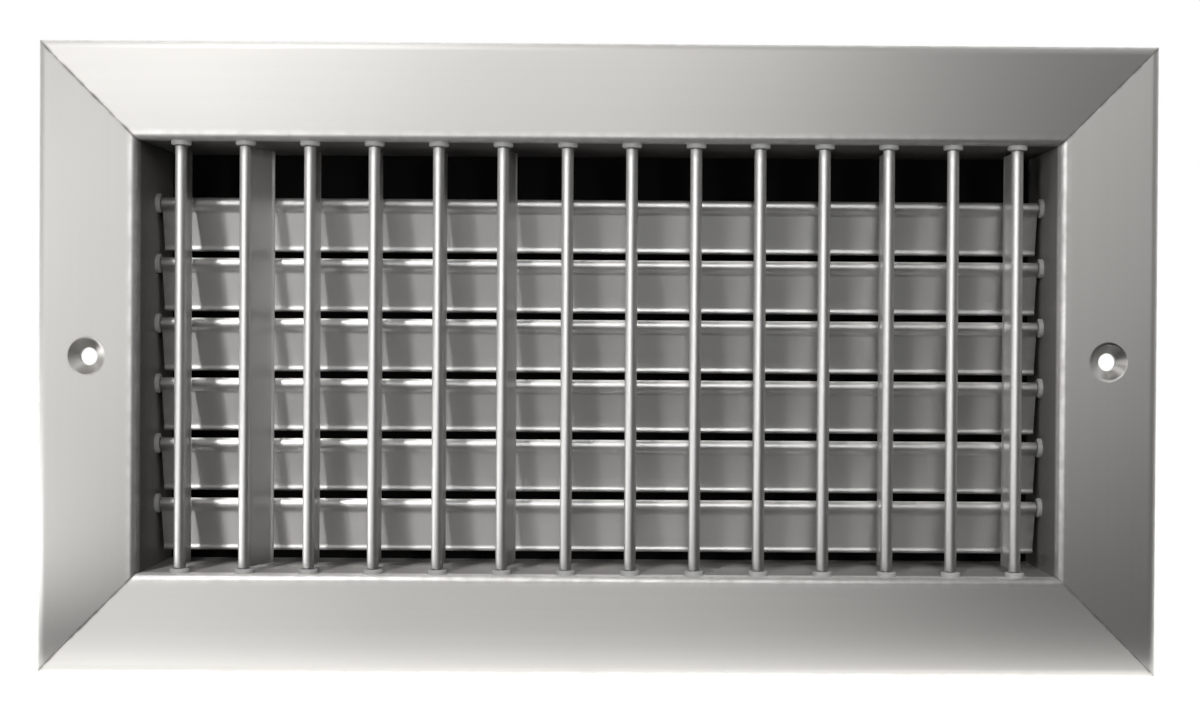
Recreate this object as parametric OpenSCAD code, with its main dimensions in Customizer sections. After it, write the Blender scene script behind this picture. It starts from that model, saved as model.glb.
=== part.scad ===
// Double deflection supply grille: a mitred extruded frame that carries a front bank of
// upright blades and a rear bank of level blades, each blade turning on its own two pivots.
// Millimetres. X runs along the length, Z is up and Y points into the wall. The origin is
// midway between the two screw holes, in the plane of the wall that the flange lies against.

/* [Frame] */
// Overall length of the flange
overall_w = 350; // [250:0.5:400]
// Overall height of the flange
overall_h = 197.5; // [150:0.5:220]
// Width of the flange from its outer edge to the opening
border = 31; // [29:0.5:36]
// Depth of the flange from its face to the wall
flange_depth = 5; // [4.8:0.1:6]
// Depth of the whole frame from its face to the open end of the neck
neck_depth = 46; // [44:0.5:60]
// Thickness of the flange face and of its turned edge
face_t = 1.5; // [1.2:0.05:1.6]
// Thickness of the neck wall that carries the pivots
neck_t = 1.4; // [1.1:0.05:1.8]
// Radius of the rounded lip round the opening
lip_r = 1.8; // [1.2:0.1:2]
// Radius of the rounded outer edge of the flange
edge_r = 3; // [2.4:0.1:3.4]
// How far the face falls away from the lip to the outer edge
crown_drop = 0.6; // [0.1:0.1:0.8]
// Hairline left between two rails at a mitre
mitre_gap = 0.12; // [0.05:0.01:0.3]

/* [Screw holes] */
// Diameter of the screw holes
hole_d = 5.6; // [4.5:0.1:6]
// Diameter of the countersunk dimple at the face
dimple_d = 11.6; // [10:0.1:12.4]
// Radius that rounds the rim of the dimple into the face
dimple_rim_r = 1.6; // [0.5:0.1:2]
// Metal thickness round the hole and behind the dimple
dimple_t = 1.3; // [1:0.1:1.5]

/* [Corner keys] */
// Width of the channel for the corner keys behind the face
channel_w = 15.4; // [14:0.2:17]
// Thickness of the two ribs that form the channel
rib_t = 1.2; // [1:0.1:1.6]
// How far the ribs' hooked edges reach over the key
hook_reach = 1.3; // [0.8:0.1:1.6]
// Thickness of the ribs' hooked edges
hook_t = 0.8; // [0.6:0.05:0.9]
// Length of each leg of a corner key from the mitre point
key_leg = 26; // [20:0.5:34]
// Thickness of the corner keys
key_t = 1.2; // [1:0.05:1.3]
// Clearance round a corner key in its channel
key_clearance = 0.1; // [0.05:0.01:0.15]

/* [Blades] */
// Distance from one front pivot to the next
front_pitch = 20.2; // [19:0.1:24]
// Smallest distance from an end front pivot to the side of the opening
front_end_room = 12; // [10:0.5:16]
// Depth of the front pivots behind the face
front_pivot_depth = 5.2; // [5:0.1:5.6]
// Distance from one rear pivot to the next
rear_pitch = 19.5; // [19:0.1:24]
// Distance from the top of the opening to the first rear pivot
rear_top_room = 18; // [10:0.5:24]
// Smallest distance from the last rear pivot to the bottom of the opening
rear_bottom_room = 19; // [18.5:0.5:24]
// Depth of the rear pivots behind the face
rear_pivot_depth = 25.5; // [25:0.1:27]
// Diameter of a blade's rounded nose
nose_d = 3.7; // [3.4:0.1:4]
// Thickness of a blade's web
web_t = 1.0; // [0.8:0.05:1.2]
// Diameter of the bead along a blade's tail
tail_d = 1.8; // [1.4:0.05:2]
// Distance from a blade's pivot to the end of its tail
blade_reach = 16; // [14:0.1:16.4]
// Radius that blends the web into the nose
nose_blend_r = 2.4; // [1:0.1:4]
// Radius that blends the web into the tail bead
tail_blend_r = 1.6; // [0.8:0.1:3]
// Turn of the front blades from left to right, in degrees, tail to the right positive
front_turns = [-4, 22, 0, -1, 1, 10, 0, 1, 0, 0, 2, 0, 7, -1];
// Turn of the rear blades from level, in degrees, tail down positive
rear_turn = 74.5; // [-30:0.5:84]

/* [Pivots] */
// Diameter of the pivot pins
pin_d = 2; // [1.6:0.1:2.2]
// Length of a pin inside the blade's nose
pin_in = 8; // [5:0.5:12]
// Clearance between a pin and its hole in the nose
pin_press = 0.01; // [0.005:0.005:0.02]
// Running clearance between a pin and its bush
pin_running = 0.05; // [0.02:0.01:0.09]
// Diameter of a bush's flange inside the opening
bush_flange_d = 6.2; // [5.4:0.1:6.4]
// Thickness of a bush's flange
bush_flange_t = 1.4; // [1:0.1:1.8]
// Diameter of a bush's barrel through the neck wall
bush_d = 4.2; // [3.8:0.1:4.4]
// Clearance between a bush's barrel and the neck wall
bush_clearance = 0.05; // [0.02:0.01:0.1]
// How far a bush's snap lip stands out beyond its barrel
barb_rise = 0.35; // [0.2:0.05:0.5]
// Length of a bush's snap lip behind the neck wall
barb_len = 1.2; // [0.8:0.1:1.6]
// Gap between a blade's end and the bush flange
end_gap = 0.3; // [0.2:0.05:0.5]

/* [Hidden] */
opening_w = overall_w - 2 * border;
opening_h = overall_h - 2 * border;
face_y = -flange_depth;
neck_y = neck_depth - flange_depth;
front_y = front_pivot_depth - flange_depth;
rear_y = rear_pivot_depth - flange_depth;
mid_border = border / 2;

front_count = floor((opening_w - 2 * front_end_room) / front_pitch) + 1;
rear_count = floor((opening_h - rear_top_room - rear_bottom_room) / rear_pitch) + 1;
front_xs = [for (i = [0 : front_count - 1]) (i - (front_count - 1) / 2) * front_pitch];
rear_zs = [for (i = [0 : rear_count - 1]) opening_h / 2 - rear_top_room - i * rear_pitch];
front_len = opening_h - 2 * (bush_flange_t + end_gap);
rear_len = opening_w - 2 * (bush_flange_t + end_gap);
pin_out = end_gap + bush_flange_t + neck_t + barb_len;
tail_y = blade_reach - tail_d / 2;

round_fn = 64;
arc_steps = 8;
crown_steps = 10;
overlap = 0.02;

corners = [["top_left", -1, 1], ["top_right", 1, 1], ["bottom_left", -1, -1], ["bottom_right", 1, -1]];

function two_digits(n) = str(n < 10 ? "0" : "", n);
function front_name(i) = str("front_blade_", two_digits(i + 1));
function rear_name(i) = str("rear_blade_", i + 1);
function pins_name(blade) = str(blade, "_pins");
function key_name(corner) = str("corner_key_", corner[0]);
function front_turn(i) = i < len(front_turns) ? front_turns[i] : 0;

front_names = [for (i = [0 : front_count - 1]) front_name(i)];
rear_names = [for (i = [0 : rear_count - 1]) rear_name(i)];
blade_names = concat(front_names, rear_names);

// Points of an arc in the section's plane, from angle a0 to a1
function arc(cx, cy, r, a0, a1) =
    [for (i = [0 : arc_steps]) let (a = a0 + (a1 - a0) * i / arc_steps) [cx + r * cos(a), cy + r * sin(a)]];

// Depth of the face at a distance u outward from the opening
function crown(u) = face_y + crown_drop * pow((u - lip_r) / (border - edge_r - lip_r), 2);
edge_u = border - edge_r;
edge_y = crown(edge_u) + edge_r;
front_us = [for (i = [1 : crown_steps - 1]) lip_r + (edge_u - lip_r) * i / crown_steps];
back_us = [for (i = [crown_steps - 1 : -1 : 1]) neck_t + (edge_u - neck_t) * i / crown_steps];
function back(u) = crown(max(u, lip_r)) + face_t;

// Seat of a corner key between the face and the hooks
key_y = back(mid_border + channel_w / 2) + key_clearance;
hook_y = key_y + key_t + key_clearance;

// Section of the extrusion: u outward from the opening's wall, and the depth in Y
module frame_section() {
    polygon(concat(
        [[0, neck_y]],
        arc(lip_r, face_y + lip_r, lip_r, 180, 270),
        [for (u = front_us) [u, crown(u)]],
        arc(edge_u, edge_y, edge_r, 270, 360),
        [[border, 0], [border - face_t, 0]],
        arc(edge_u, edge_y, edge_r - face_t, 360, 270),
        [for (u = back_us) [u, back(u)]],
        [[neck_t, back(neck_t)], [neck_t, neck_y]]
    ));
    for (side = [-1, 1]) channel_rib(side);
}

// One hooked rib of the key channel, on either side of the middle of the flange
module channel_rib(side) {
    root_y = back(mid_border - channel_w / 2 - rib_t) - face_t / 2;
    translate([mid_border, 0]) mirror([side < 0 ? 1 : 0, 0]) {
        translate([channel_w / 2, root_y]) square([rib_t, hook_y + hook_t - root_y]);
        translate([channel_w / 2 - hook_reach, hook_y]) square([hook_reach + rib_t, hook_t]);
    }
}

// A rail lying along X on top of an opening of the given length, cut to its two mitres
module rail_blank(inner_len) {
    half = inner_len / 2 - mitre_gap / sqrt(2);
    low = -overlap;
    high = border + overlap;
    intersection() {
        rotate([0, -90, 0]) linear_extrude(inner_len + 2 * border, center = true) frame_section();
        translate([0, neck_y + overlap, 0]) rotate([90, 0, 0])
            linear_extrude(neck_depth + 2 * overlap)
                polygon([[-half - low, low], [half + low, low], [half + high, high], [-half - high, high]]);
    }
}

// Holes for the bushes through the neck wall of a rail that lies along X
module bush_holes(along, depth) {
    for (x = along) translate([x, depth, -overlap])
        cylinder(h = neck_t + 2 * overlap, d = bush_d + 2 * bush_clearance, $fn = round_fn);
}

module rail(inner_len, along, depth) {
    difference() {
        rail_blank(inner_len);
        bush_holes(along, depth);
    }
}

// Depth at which the cone of the dimple meets the straight wall of the screw hole
cone_y = crown(mid_border) + (dimple_d - hole_d) / 2;

// Solid metal behind the dimple, as a revolved outline about Y
module dimple_back() {
    top_r = dimple_d / 2 + dimple_t;
    back_r = hole_d / 2 + dimple_t;
    top_y = back(mid_border) - face_t / 2;
    rotate([-90, 0, 0]) rotate_extrude($fn = round_fn)
        polygon([[0, top_y], [top_r, top_y], [top_r, top_y + face_t / 2], [back_r, cone_y + dimple_t / 2],
                 [back_r, 0], [0, 0]]);
}

// Space of the dimple and the screw hole: a rounded rim, a 45 degree cone and a straight wall
module dimple_cut() {
    surface_y = crown(mid_border);
    tangent = dimple_rim_r * tan(22.5);
    rim_r = dimple_d / 2 + tangent;
    rim = [for (i = [0 : arc_steps]) let (a = 45 * i / arc_steps)
        [rim_r - dimple_rim_r * sin(a), surface_y + dimple_rim_r * (1 - cos(a))]];
    rotate([-90, 0, 0]) rotate_extrude($fn = round_fn)
        polygon(concat([[0, face_y - 1], [rim_r, face_y - 1]], rim,
                       [[hole_d / 2, cone_y], [hole_d / 2, overlap], [0, overlap]]));
}

// A side rail lying along X, with its screw hole in the middle
module screwed_rail(inner_len, along, depth) {
    difference() {
        union() {
            rail(inner_len, along, depth);
            translate([0, 0, mid_border]) dimple_back();
        }
        translate([0, 0, mid_border]) dimple_cut();
    }
}

module frame_top() {
    color("silver") translate([0, 0, opening_h / 2]) rail(opening_w, front_xs, front_y);
}

module frame_bottom() {
    color("silver") rotate([0, 180, 0]) translate([0, 0, opening_h / 2]) rail(opening_w, -front_xs, front_y);
}

module frame_left() {
    color("silver") rotate([0, -90, 0]) translate([0, 0, opening_w / 2])
        screwed_rail(opening_h, rear_zs, rear_y);
}

module frame_right() {
    color("silver") rotate([0, 90, 0]) translate([0, 0, opening_w / 2])
        screwed_rail(opening_h, -rear_zs, rear_y);
}

// A flat angle plate that joins two rails behind their mitre
module corner_key(corner) {
    key_w = channel_w - 2 * key_clearance;
    chamfer = key_w / 6;
    half = key_w / 2;
    color("darkgray")
        translate([corner[1] * (opening_w / 2 + mid_border), key_y, corner[2] * (opening_h / 2 + mid_border)])
        mirror([corner[1] < 0 ? 1 : 0, 0, 0]) mirror([0, 0, corner[2] < 0 ? 1 : 0])
        translate([0, key_t, 0]) rotate([90, 0, 0]) linear_extrude(key_t)
            polygon([[half, half], [-key_leg + chamfer, half], [-key_leg, half - chamfer],
                     [-key_leg, -half + chamfer], [-key_leg + chamfer, -half], [-half, -half],
                     [-half, -key_leg + chamfer], [-half + chamfer, -key_leg],
                     [half - chamfer, -key_leg], [half, -key_leg + chamfer]]);
}

// A bush that stands along Z with its flange below the wall at Z = 0
module bush() {
    barrel_end = neck_t + barb_len;
    rotate_extrude($fn = round_fn)
        polygon([[pin_d / 2 + pin_running, -bush_flange_t], [bush_flange_d / 2 - bush_flange_t / 4, -bush_flange_t],
                 [bush_flange_d / 2, -bush_flange_t * 3 / 4], [bush_flange_d / 2, 0],
                 [bush_d / 2, 0], [bush_d / 2, neck_t + bush_clearance],
                 [bush_d / 2 + barb_rise, neck_t + bush_clearance],
                 [bush_d / 2 + barb_rise, neck_t + barb_len / 3],
                 [bush_d / 2 - barb_rise, barrel_end], [pin_d / 2 + pin_running, barrel_end]]);
}

module front_bushes(side) {
    color("dimgray") for (x = front_xs)
        translate([x, front_y, side * opening_h / 2]) rotate([side < 0 ? 180 : 0, 0, 0]) bush();
}

module rear_bushes(side) {
    color("dimgray") for (z = rear_zs)
        translate([side * opening_w / 2, rear_y, z]) rotate([0, side * 90, 0]) bush();
}

// Concave blend between a round edge of radius r and the web, on both sides
module web_blend(r, blend_r) {
    half = web_t / 2;
    centre_y = sqrt(pow(r + blend_r, 2) - pow(half + blend_r, 2));
    share = r / (r + blend_r);
    touch = [(half + blend_r) * share, centre_y * share];
    difference() {
        polygon([[-touch[0], touch[1]], [touch[0], touch[1]], [half, centre_y], [-half, centre_y]]);
        for (side = [-1, 1]) translate([side * (half + blend_r), centre_y]) circle(blend_r, $fn = round_fn);
    }
}

// Section of a blade: round nose at the pivot, thin web and beaded tail along +Y
module blade_section() {
    circle(d = nose_d, $fn = round_fn);
    translate([0, tail_y]) circle(d = tail_d, $fn = round_fn);
    translate([-web_t / 2, 0]) square([web_t, tail_y]);
    web_blend(nose_d / 2, nose_blend_r);
    translate([0, tail_y]) mirror([0, 1]) web_blend(tail_d / 2, tail_blend_r);
}

// A blade that stands along Z about its pivot axis, drilled at both ends for its pins
module blade(length) {
    color("gainsboro") difference() {
        linear_extrude(length, center = true) blade_section();
        for (side = [-1, 1]) translate([0, 0, side * (length / 2 - pin_in / 2 + overlap)])
            cylinder(h = pin_in + 2 * overlap, d = pin_d + 2 * pin_press, center = true, $fn = round_fn);
    }
}

// The two pins of a blade that stands along Z
module pins(length) {
    span = pin_in + pin_out;
    color("darkgray") for (side = [-1, 1])
        translate([0, 0, side * (length / 2 - pin_in + span / 2)])
            cylinder(h = span, d = pin_d, center = true, $fn = round_fn);
}

module at_front(i) translate([front_xs[i], front_y, 0]) rotate([0, 0, -front_turn(i)]) children();

module at_rear(i) translate([0, rear_y, rear_zs[i]]) rotate([-rear_turn, 0, 0]) rotate([0, 90, 0]) children();

frame_top();
frame_bottom();
frame_left();
frame_right();
for (corner = corners) corner_key(corner);
front_bushes(1);  // front_bushes_top
front_bushes(-1);  // front_bushes_bottom
rear_bushes(-1);  // rear_bushes_left
rear_bushes(1);  // rear_bushes_right
for (i = [0 : front_count - 1]) {
    at_front(i) blade(front_len);
    at_front(i) pins(front_len);
}
for (i = [0 : rear_count - 1]) {
    at_rear(i) blade(rear_len);
    at_rear(i) pins(rear_len);
}
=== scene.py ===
import math

import bmesh
import bpy
from mathutils import Matrix, Vector


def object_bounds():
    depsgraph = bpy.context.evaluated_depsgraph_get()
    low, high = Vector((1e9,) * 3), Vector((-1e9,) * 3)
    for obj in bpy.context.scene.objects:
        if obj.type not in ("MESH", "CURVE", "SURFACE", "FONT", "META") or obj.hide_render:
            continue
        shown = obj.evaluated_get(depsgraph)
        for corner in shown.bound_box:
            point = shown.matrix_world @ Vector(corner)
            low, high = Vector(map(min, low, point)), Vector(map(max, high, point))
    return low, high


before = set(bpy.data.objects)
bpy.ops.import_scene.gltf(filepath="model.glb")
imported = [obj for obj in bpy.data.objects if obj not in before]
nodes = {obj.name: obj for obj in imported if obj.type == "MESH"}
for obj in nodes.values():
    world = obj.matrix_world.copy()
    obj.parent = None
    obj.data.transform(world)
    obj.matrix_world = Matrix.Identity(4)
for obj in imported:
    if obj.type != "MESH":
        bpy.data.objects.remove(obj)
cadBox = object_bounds()
print("frame loaded:", len(nodes), "pieces")


# One socket of a material, so that shader maths reads as plain sums
class Wire:
    def __init__(self, finish, socket):
        self.finish = finish
        self.socket = socket

    def join(self, operation, first, second):
        return self.finish.node("ShaderNodeMath", {"operation": operation}, {0: first, 1: second})

    def __add__(self, other):
        return self.join("ADD", self, other)

    def __radd__(self, other):
        return self.join("ADD", other, self)

    def __sub__(self, other):
        return self.join("SUBTRACT", self, other)

    def __rsub__(self, other):
        return self.join("SUBTRACT", other, self)

    def __mul__(self, other):
        return self.join("MULTIPLY", self, other)

    def __rmul__(self, other):
        return self.join("MULTIPLY", other, self)

    # Distance from zero, the larger of two values, and a sum kept within 0 and 1
    def size(self):
        return self.join("ABSOLUTE", self, 0.0)

    def orMore(self, other):
        return self.join("MAXIMUM", self, other)

    def within(self):
        return self.finish.node("ShaderNodeMath", {"operation": "ADD", "use_clamp": True}, {0: self, 1: 0.0})

    # 0 up to the first value, 1 from the second on
    def between(self, first, second):
        return self.finish.node("ShaderNodeMapRange", {}, {"Value": self, "From Min": first, "From Max": second})


# The nodes of a material or a world, added one at a time
class Finish:
    def __init__(self, material):
        self.material = material
        material.use_nodes = True
        self.tree = material.node_tree
        self.tree.nodes.clear()

    # Adds any node: its settings first, then the values or links of its sockets
    def node(self, kind, settings=None, sockets=None, output=0):
        made = self.tree.nodes.new(kind)
        for key, value in (settings or {}).items():
            if key == "stops":
                self.setStops(made.color_ramp, value)
            else:
                setattr(made, key, value)
        for key, value in (sockets or {}).items():
            if isinstance(value, Wire):
                self.tree.links.new(value.socket, made.inputs[key])
            else:
                made.inputs[key].default_value = value
        return Wire(self, made.outputs[output]) if len(made.outputs) else None

    # Another output of a node that is already there
    def sameNode(self, wire, output):
        return Wire(self, wire.socket.node.outputs[output])

    def setStops(self, ramp, stops):
        while len(ramp.elements) < len(stops):
            ramp.elements.new(1.0)
        for element, (position, level) in zip(ramp.elements, stops):
            element.position = position
            element.color = (level, level, level, 1.0)

    @property
    def place(self):
        return self.node("ShaderNodeTexCoord", output="Object")

    def part(self, vector, axis):
        return self.node("ShaderNodeSeparateXYZ", {}, {"Vector": vector}, output=axis)

    # Noise on the piece's own place, stretched by a scale for each axis
    def grain(self, scale, detail=2.0, roughness=0.5):
        placed = self.node("ShaderNodeMapping", {}, {"Vector": self.place, "Scale": scale})
        return self.node("ShaderNodeTexNoise", {}, {"Vector": placed, "Scale": 1.0,
                         "Detail": detail, "Roughness": roughness}, output="Fac")

    def ramp(self, value, stops):
        return self.node("ShaderNodeValToRGB", {"stops": stops}, {"Fac": value})

    def mix(self, share, first, second):
        return self.node("ShaderNodeMix", {"data_type": "RGBA"}, {0: share, 6: first, 7: second}, output=2)

    # Relief of the given height in metres
    def relief(self, height, distance, strength=1.0):
        return self.node("ShaderNodeBump", {}, {"Height": height, "Distance": distance, "Strength": strength},
                         output="Normal")

    # The last shader and the output
    def close(self, output, kind, sockets):
        self.node(output, {}, {"Surface": self.node(kind, {}, sockets)})
        return self.material


# Stretches a pattern along one axis: few changes along it, many across it
def alongAxis(axis, along, across):
    return tuple(along if letter == axis else across for letter in "XYZ")


# Where wear and dirt gather on the frame, and where its neck is darkened with painted shade, in metres from its
# middle
frameForm = {
    "openingHalfWidth": 0.144,
    "openingHalfHeight": 0.06775,
    "lip": (0.0034, 0.0014),
    "outerEdge": (0.0298, 0.0306),
    "mitreGrime": (0.0011, 0.0003),
    "neck": (-0.001, 0.0015),
    "screwSide": 0.1595,
    "dimple": (0.0070, 0.0060),
    "turnedRings": 2600.0,
}

brushed = {
    "color": (0.80, 0.785, 0.755, 1.0),
    "shade": (0.72, 0.705, 0.68, 1.0),
    "worn": (0.90, 0.885, 0.86, 1.0),
    # A dark tone for the dirt along the mitres, and for the painted shade at the blades' ends
    "grime": (0.33, 0.32, 0.30, 1.0),
    # Painted shade for the inside of the neck
    "neckColor": (0.34, 0.332, 0.32, 1.0),
    "roughness": 0.50,
    "anisotropic": 0.8,
    "streakAlong": 26.0,
    "streakAcross": 5200.0,
    "lineAcross": 1500.0,
    "bandAcross": 420.0,
    "relief": 0.000004,
}


# The four rails' surface details: a worn lip and outer edge, dirty mitres and turned screw dimples, and painted
# shade that darkens the neck's inner walls, which are also a little rougher
def frameMarksAndShade(finish, look, form, color, roughness):
    acrossX = finish.part(finish.place, "X").size()
    acrossZ = finish.part(finish.place, "Z").size()
    fromSide = acrossX - form["openingHalfWidth"]
    fromLevel = acrossZ - form["openingHalfHeight"]
    outward = fromSide.orMore(fromLevel)
    broken = finish.grain((230.0, 230.0, 230.0), detail=3.0)
    worn = outward.between(*form["lip"]) + outward.between(*form["outerEdge"])
    worn = worn * broken.between(0.3, 0.62)
    color = finish.mix(worn, color, look["worn"])
    grime = (fromSide - fromLevel).size().between(*form["mitreGrime"]) * broken.between(0.35, 0.7) * 0.7
    color = finish.mix(grime, color, look["grime"])
    fromScrew = finish.node("ShaderNodeCombineXYZ", {}, {"X": acrossX - form["screwSide"], "Y": acrossZ})
    fromScrew = finish.node("ShaderNodeVectorMath", {"operation": "LENGTH"}, {0: fromScrew}, output="Value")
    dimple = fromScrew.between(*form["dimple"])
    ring = finish.node("ShaderNodeCombineXYZ", {}, {"X": fromScrew * form["turnedRings"]})
    ring = finish.node("ShaderNodeTexNoise", {}, {"Vector": ring, "Scale": 1.0, "Detail": 1.0}, output="Fac")
    color = finish.mix(dimple * ring * 0.45, color, look["shade"])
    # Painted shade: the inside of the neck, behind the lip, is darkened for the shade that falls deep inside it
    neck = finish.part(finish.place, "Y").between(*form["neck"])
    color = finish.mix(neck, color, look["neckColor"])
    return color, roughness - worn * 0.07 + grime * 0.2 + dimple * ring * 0.05 + neck * 0.1


# Painted shade on the blades: darker towards both ends, where they meet the bushes, broken up by noise
def bladeEndShade(finish, look, form, color, roughness):
    toEnd = finish.part(finish.place, form["axis"]).size().between(*form["dust"])
    dust = toEnd * finish.grain((300.0, 300.0, 300.0), detail=3.0)
    return finish.mix(dust, color, look["grime"]), roughness + dust * 0.15


def brushedAluminium(name, axis, look, marksAndShade=None, form=None):
    finish = Finish(bpy.data.materials.new(name))
    fine = finish.grain(alongAxis(axis, look["streakAlong"], look["streakAcross"]), detail=3.0)
    line = finish.grain(alongAxis(axis, look["streakAlong"] / 3, look["lineAcross"]), detail=2.0)
    band = finish.grain(alongAxis(axis, 4.0, look["bandAcross"]), detail=2.0)
    cloud = finish.grain((18.0, 18.0, 18.0), detail=3.0)
    tone = band * 0.35 + line * 0.25 + cloud * 0.25 + fine * 0.15
    color = finish.mix(tone, look["shade"], look["color"])
    roughness = look["roughness"] - 0.07 + fine * 0.06 + line * 0.03 + cloud * 0.05
    if marksAndShade:
        color, roughness = marksAndShade(finish, look, form, color, roughness)
    grainLine = finish.node("ShaderNodeCombineXYZ", {}, {axis: 1.0})
    return finish.close("ShaderNodeOutputMaterial", "ShaderNodeBsdfPrincipled", {
        "Base Color": color,
        "Metallic": 1.0,
        "Roughness": roughness,
        "Anisotropic": look["anisotropic"],
        "Anisotropic Rotation": 0.25,
        "Tangent": grainLine,
        "Normal": finish.relief(fine * 0.7 + line * 0.3, look["relief"]),
    })


nylon = {
    "color": (0.50, 0.50, 0.49, 1.0),
    "shade": (0.40, 0.40, 0.39, 1.0),
    "roughness": 0.45,
    "mottleScale": 900.0,
    "relief": 0.00002,
}


def mouldedNylon(name, look):
    finish = Finish(bpy.data.materials.new(name))
    mottle = finish.grain((look["mottleScale"],) * 3, detail=3.0)
    return finish.close("ShaderNodeOutputMaterial", "ShaderNodeBsdfPrincipled", {
        "Base Color": finish.mix(mottle, look["shade"], look["color"]),
        "Roughness": look["roughness"] + mottle * 0.1,
        "Normal": finish.relief(mottle, look["relief"]),
    })


steel = {
    "color": (0.56, 0.56, 0.57, 1.0),
    "shade": (0.42, 0.42, 0.43, 1.0),
    "roughness": 0.3,
    "lineScale": 3000.0,
    "relief": 0.000003,
}


def drawnSteel(name, look):
    finish = Finish(bpy.data.materials.new(name))
    line = finish.grain((look["lineScale"],) * 3)
    return finish.close("ShaderNodeOutputMaterial", "ShaderNodeBsdfPrincipled", {
        "Base Color": finish.mix(line, look["shade"], look["color"]),
        "Metallic": 1.0,
        "Roughness": look["roughness"] + line * 0.15,
        "Normal": finish.relief(line, look["relief"]),
    })


# Sheet as it comes from the mill: soft patches of lighter and darker metal
mill = {
    "color": (0.66, 0.66, 0.65, 1.0),
    "shade": (0.46, 0.46, 0.455, 1.0),
    "roughness": 0.38,
    "patchScale": 260.0,
    "grainScale": 2400.0,
    "relief": 0.000005,
}


def millSheet(name, look):
    finish = Finish(bpy.data.materials.new(name))
    patch = finish.node("ShaderNodeTexVoronoi", {}, {"Vector": finish.place, "Scale": look["patchScale"]})
    grain = finish.grain((look["grainScale"],) * 3, detail=3.0)
    return finish.close("ShaderNodeOutputMaterial", "ShaderNodeBsdfPrincipled", {
        "Base Color": finish.mix((patch * 0.6 + grain * 0.4).within(), look["shade"], look["color"]),
        "Metallic": 1.0,
        "Roughness": look["roughness"] + grain * 0.1 + patch.within() * 0.06,
        "Normal": finish.relief(grain, look["relief"]),
    })


# The blades are the same aluminium as the rails but given a lighter colour: painted light that makes their faces
# come out brighter than the lamps alone make them
blade = dict(brushed, color=(0.96, 0.95, 0.935, 1.0), shade=(0.90, 0.89, 0.88, 1.0), roughness=0.42,
             anisotropic=0.7, streakAlong=14.0, streakAcross=4200.0, bandAcross=1500.0)
# Where the painted shade at each blade's ends begins and where it is full, in metres from the middle
uprightForm = {"axis": "Z", "dust": (0.0630, 0.0662)}
levelForm = {"axis": "X", "dust": (0.1385, 0.1425)}

finishes = {
    "railLevel": brushedAluminium("railLevel", "X", brushed, frameMarksAndShade, frameForm),
    "railUpright": brushedAluminium("railUpright", "Z", brushed, frameMarksAndShade, frameForm),
    "bladeUpright": brushedAluminium("bladeUpright", "Z", blade, bladeEndShade, uprightForm),
    "bladeLevel": brushedAluminium("bladeLevel", "X", blade, bladeEndShade, levelForm),
    "bush": mouldedNylon("bushNylon", nylon),
    "pin": drawnSteel("pinSteel", steel),
    "key": millSheet("keyPlate", mill),
}


def finishOf(name):
    if name in ("frame_top", "frame_bottom"):
        return finishes["railLevel"]
    if name in ("frame_left", "frame_right"):
        return finishes["railUpright"]
    if name.endswith("_pins"):
        return finishes["pin"]
    if "bushes" in name:
        return finishes["bush"]
    if name.startswith("corner_key"):
        return finishes["key"]
    return finishes["bladeUpright" if name.startswith("front") else "bladeLevel"]


for name, piece in nodes.items():
    for slot in piece.material_slots:
        slot.material = finishOf(name)
print("finishes assigned:", len(finishes))

cameraPlace = {
    "location": (0.0080, -0.5629, 0.0040),
    "turn": (-0.441, -0.340, -0.343),
    "focalPixels": 1791.1,
    "shiftPixels": 35.0,
    "imageWidth": 1200.0,
    "sensorWidth": 36.0,
}


def makeCamera(look):
    data = bpy.data.cameras.new("camera")
    data.sensor_width = look["sensorWidth"]
    data.lens = look["sensorWidth"] * look["focalPixels"] / look["imageWidth"]
    data.shift_x = -look["shiftPixels"] / look["imageWidth"]
    camera = bpy.data.objects.new("camera", data)
    bpy.context.scene.collection.objects.link(camera)
    turn = Vector(math.radians(angle) for angle in look["turn"])
    aimed = Matrix.Rotation(turn.length, 4, turn.normalized())
    level = Matrix.Rotation(math.radians(90), 4, "X")
    camera.matrix_world = Matrix.Translation(look["location"]) @ aimed @ level
    bpy.context.scene.camera = camera


studio = {
    "worldLight": 0.35,
    "floorColor": (0.86, 0.86, 0.86, 1.0),
    "floorWidth": 8.0,
    "floorWhite": 0.68,
}


# 1 for what the camera, a reflection or a clear part shows, 0 for light on the object
def seenDirectly(finish):
    camera = finish.node("ShaderNodeLightPath", output="Is Camera Ray")
    glossy = finish.sameNode(camera, "Is Glossy Ray")
    clear = finish.sameNode(camera, "Is Transmission Ray")
    return (camera + glossy + clear).within()


def makeWorld(look):
    world = bpy.data.worlds.new("studio")
    bpy.context.scene.world = world
    finish = Finish(world)
    strength = look["worldLight"] + seenDirectly(finish) * (1.0 - look["worldLight"])
    finish.close("ShaderNodeOutputWorld", "ShaderNodeBackground", {
        "Color": (1.0, 1.0, 1.0, 1.0),
        "Strength": strength,
    })


# A large flat sheet that isn't part of the object, for the floor and the studio's cards
def makeSheet(name, width, depth, matrix, material):
    form = bmesh.new()
    size = Matrix.Diagonal((width / 2, depth / 2, 1.0, 1.0))
    bmesh.ops.create_grid(form, x_segments=1, y_segments=1, size=1.0, matrix=matrix @ size)
    mesh = bpy.data.meshes.new(name)
    form.to_mesh(mesh)
    form.free()
    sheet = bpy.data.objects.new(name, mesh)
    bpy.context.scene.collection.objects.link(sheet)
    mesh.materials.append(material)
    return sheet


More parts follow.
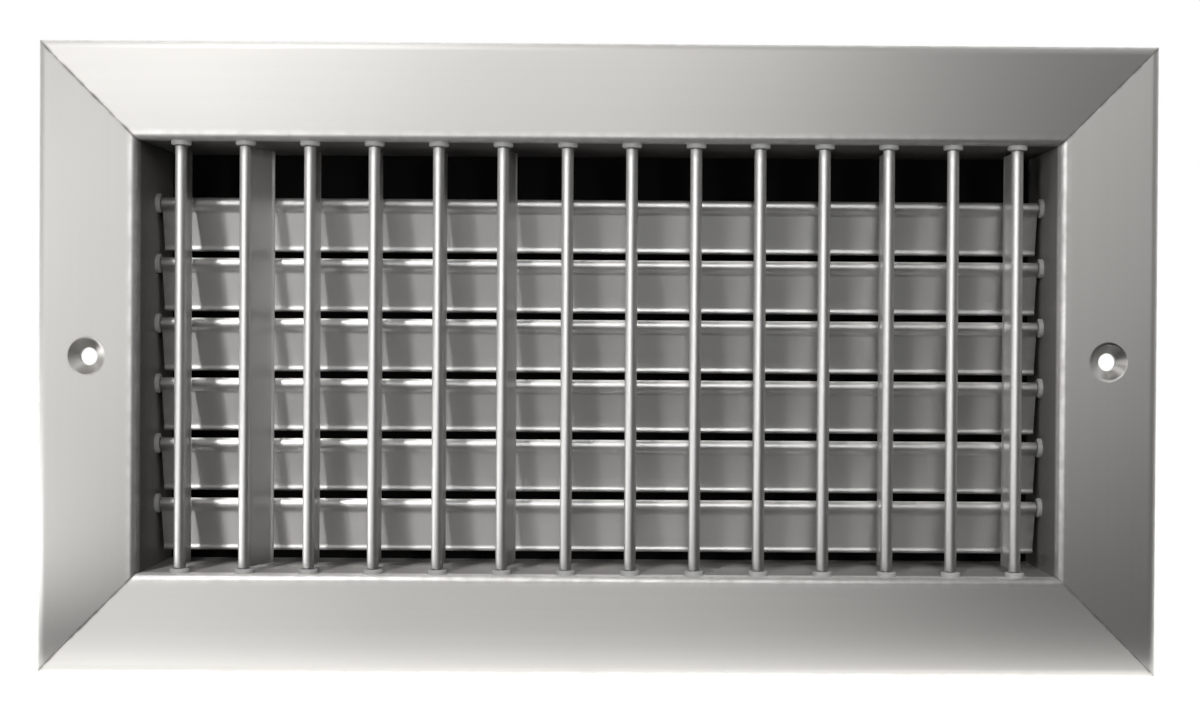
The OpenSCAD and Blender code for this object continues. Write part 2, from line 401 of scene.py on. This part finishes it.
def makeFloor(look):
    finish = Finish(bpy.data.materials.new("floor"))
    plain = finish.node("ShaderNodeBsdfDiffuse", {}, {"Color": look["floorColor"]})
    glow = finish.node("ShaderNodeEmission", {}, {"Strength": look["floorWhite"]})
    white = finish.node("ShaderNodeAddShader", {}, {0: plain, 1: glow})
    finish.close("ShaderNodeOutputMaterial", "ShaderNodeMixShader", {0: seenDirectly(finish), 1: plain, 2: white})
    makeSheet("floor", look["floorWidth"], look["floorWidth"], Matrix.Translation((0, 0, cadBox[0].z)),
              finish.material)


# What the metal reflects of the studio. Each soft box is a patch of a sphere round the object: from and to
# in degrees to the right, from and to in degrees up, and its glow. A card lies on the floor: from and to
# along X, from and to along Y in metres, and its glow.
studioLights = {
    "radius": 2.4,
    "steps": 8,
    "softBoxes": {
        "keyLow": (-23.6, -20.5, -2.0, 11.2, 22.2),
        "keyLowSide": (-20.5, -17.4, -2.0, 11.2, 5.8),
        "keyHigh": (-23.6, -20.5, 34.0, 61.6, 16.0),
        "keyHighSide": (-20.5, -17.4, 34.0, 61.6, 26.9),
        "broad": (-1.6, 4.8, 11.2, 34.0, 8.7),
        "broadSide": (4.8, 11.2, 11.2, 34.0, 1.5),
        "leftFill": (-52.3, -32.7, -2.0, 11.2, 2.4),
        "rightFill": (24.0, 51.0, 34.0, 61.6, 0.9),
    },
    "floorCards": {
        "leftCard": (-2.0, -0.3, -0.25, -0.02, 5.3),
        "frontCard": (-0.3, -0.1, -2.2, -0.6, 1.7),
    },
    "cardLift": 0.0004,
}

# The dark side of the studio, which only reflections show: a rounded screen and a mat on the floor
darkSide = {"radius": 2.6, "backEdge": -0.03, "matWidth": 8.0, "matDepth": 3.9, "matGap": 0.012,
            "matLift": 0.0002, "glow": 0.0}


def glowing(name, glow):
    finish = Finish(bpy.data.materials.new(name))
    return finish.close("ShaderNodeOutputMaterial", "ShaderNodeEmission", {"Strength": glow})


# Adds a form that isn't part of the object and that the camera doesn't see
def addHidden(name, form, material, lightsAll):
    mesh = bpy.data.meshes.new(name)
    form.to_mesh(mesh)
    form.free()
    mesh.materials.append(material)
    thing = bpy.data.objects.new(name, mesh)
    bpy.context.scene.collection.objects.link(thing)
    hideFromCamera(thing, lightsAll)


def hideFromCamera(thing, lightsAll):
    thing.visible_camera = False
    thing.visible_shadow = False
    thing.visible_diffuse = lightsAll
    thing.visible_transmission = lightsAll


def onSphere(radius, right, up):
    return Vector((radius * math.sin(right) * math.cos(up), -radius * math.cos(right) * math.cos(up),
                   radius * math.sin(up)))


def makeStudioLights(look):
    steps = look["steps"]
    for name, (left, right, low, high, glow) in look["softBoxes"].items():
        form = bmesh.new()
        bmesh.ops.create_grid(form, x_segments=steps, y_segments=steps, size=0.5)
        for point in form.verts:
            across = math.radians(left + (right - left) * (point.co.x + 0.5))
            upward = math.radians(low + (high - low) * (point.co.y + 0.5))
            point.co = onSphere(look["radius"], across, upward)
        addHidden(name, form, glowing(name, glow), True)
    for name, (left, right, front, back, glow) in look["floorCards"].items():
        place = Matrix.Translation(((left + right) / 2, (front + back) / 2, cadBox[0].z + look["cardLift"]))
        card = makeSheet(name, right - left, back - front, place, glowing(name, glow))
        hideFromCamera(card, False)


def makeDarkSide(look):
    form = bmesh.new()
    bmesh.ops.create_uvsphere(form, u_segments=48, v_segments=24, radius=look["radius"])
    bmesh.ops.bisect_plane(form, geom=form.verts[:] + form.edges[:] + form.faces[:],
                           plane_co=(0, look["backEdge"], 0), plane_no=(0, 1, 0), clear_outer=True)
    addHidden("darkScreen", form, glowing("darkScreen", look["glow"]), False)
    nearEdge = cadBox[0].y - look["matGap"]
    place = Matrix.Translation((0, nearEdge - look["matDepth"] / 2, cadBox[0].z + look["matLift"]))
    mat = makeSheet("darkMat", look["matWidth"], look["matDepth"], place, glowing("darkMat", look["glow"]))
    hideFromCamera(mat, False)


# The unlit space behind the grille: a black sheet over the neck's open end that lets views from behind pass
darkness = {"width": 0.2902, "height": 0.1378, "gap": 0.0002, "color": (0.012, 0.011, 0.011, 1.0)}


def makeDarkness(look):
    finish = Finish(bpy.data.materials.new("unlitSpace"))
    black = finish.node("ShaderNodeBsdfDiffuse", {}, {"Color": look["color"]})
    clear = finish.node("ShaderNodeBsdfTransparent", {}, {"Color": (1.0, 1.0, 1.0, 1.0)})
    behind = finish.node("ShaderNodeNewGeometry", output="Backfacing")
    passed = finish.node("ShaderNodeLightPath", output="Transparent Depth")
    unseen = (behind + passed).within()
    finish.close("ShaderNodeOutputMaterial", "ShaderNodeMixShader", {0: unseen, 1: black, 2: clear})
    place = Matrix.Translation((0, cadBox[1].y + look["gap"], 0)) @ Matrix.Rotation(math.radians(90), 4, "X")
    makeSheet("unlitSpace", look["width"], look["height"], place, finish.material)


makeCamera(cameraPlace)
makeWorld(studio)
makeFloor(studio)
makeStudioLights(studioLights)
makeDarkSide(darkSide)
makeDarkness(darkness)
bpy.context.scene.view_settings.view_transform = "Standard"
print("studio ready")
